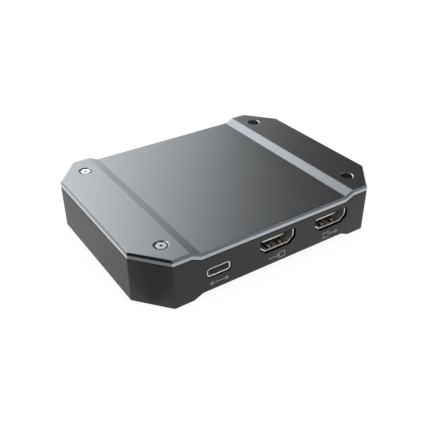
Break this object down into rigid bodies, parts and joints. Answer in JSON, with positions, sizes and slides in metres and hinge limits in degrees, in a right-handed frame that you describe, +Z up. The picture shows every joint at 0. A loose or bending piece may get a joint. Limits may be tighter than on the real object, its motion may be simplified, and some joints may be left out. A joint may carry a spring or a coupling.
{
  "type": "video capture box",
  "caption": "Flat cut-corner video capture box: dished metal cover on a dark moulded housing, with video and data sockets in front, audio sockets behind and rubber feet below.",
  "frame": {"origin": "on the table, under the middle of the case, in the plane of the rubber feet's undersides", "axes": "+X along the front, towards the video output, +Y from the front sockets to the audio sockets at the back, +Z up"},
  "size_m": [0.102, 0.0776, 0.0196],
  "materials": {
    "cover_metal": "gunmetal, satin anodised",
    "housing_plastic": "fine moulded grain, dark grey",
    "screw_steel": "turned, bright plated",
    "insert_brass": "turned",
    "foot_rubber": "moulded, matte",
    "board_laminate": "glass laminate under green lacquer",
    "socket_steel": "stamped, nickel plated",
    "socket_plastic": "moulded, black",
    "contact_gilt": "stamped, gold plated",
    "spring_bronze": "stamped bronze, tin plated",
    "chip_resin": "moulded resin",
    "pad_silicone": "soft, matte",
    "block_metal": "sawn and milled",
    "coil_ferrite": "pressed ferrite",
    "capacitor_resin": "moulded resin",
    "capacitor_ceramic": "fired",
    "can_metal": "drawn, nickel plated"
  },
  "bodies": {
    "root": {"top_cover": "cover_metal", "base_housing": "housing_plastic", "cover_screws": "screw_steel", "screw_inserts": "insert_brass", "rubber_feet": "foot_rubber", "main_board": "board_laminate", "board_screws": "screw_steel", "video_in_shell": "socket_steel", "video_in_tongue": "socket_plastic", "video_in_contacts": "contact_gilt", "video_out_shell": "socket_steel", "video_out_tongue": "socket_plastic", "video_out_contacts": "contact_gilt", "data_port_shell": "socket_steel", "data_port_tongue": "socket_plastic", "data_port_contacts": "contact_gilt", "audio_out_socket": "socket_plastic", "audio_out_springs": "spring_bronze", "audio_in_socket": "socket_plastic", "audio_in_springs": "spring_bronze", "capture_processor": "chip_resin", "processor_pad": "pad_silicone", "heat_block": "block_metal", "cover_pad": "pad_silicone", "video_receiver": "chip_resin", "video_driver": "chip_resin", "port_controller": "chip_resin", "audio_codec": "chip_resin", "memory_chips": "chip_resin", "firmware_chip": "chip_resin", "power_regulators": "chip_resin", "power_inductors": "coil_ferrite", "bulk_capacitors": "capacitor_resin", "ceramic_capacitors": "capacitor_ceramic", "crystals": "can_metal", "surge_arrays": "chip_resin"}
  },
  "joints": []
}
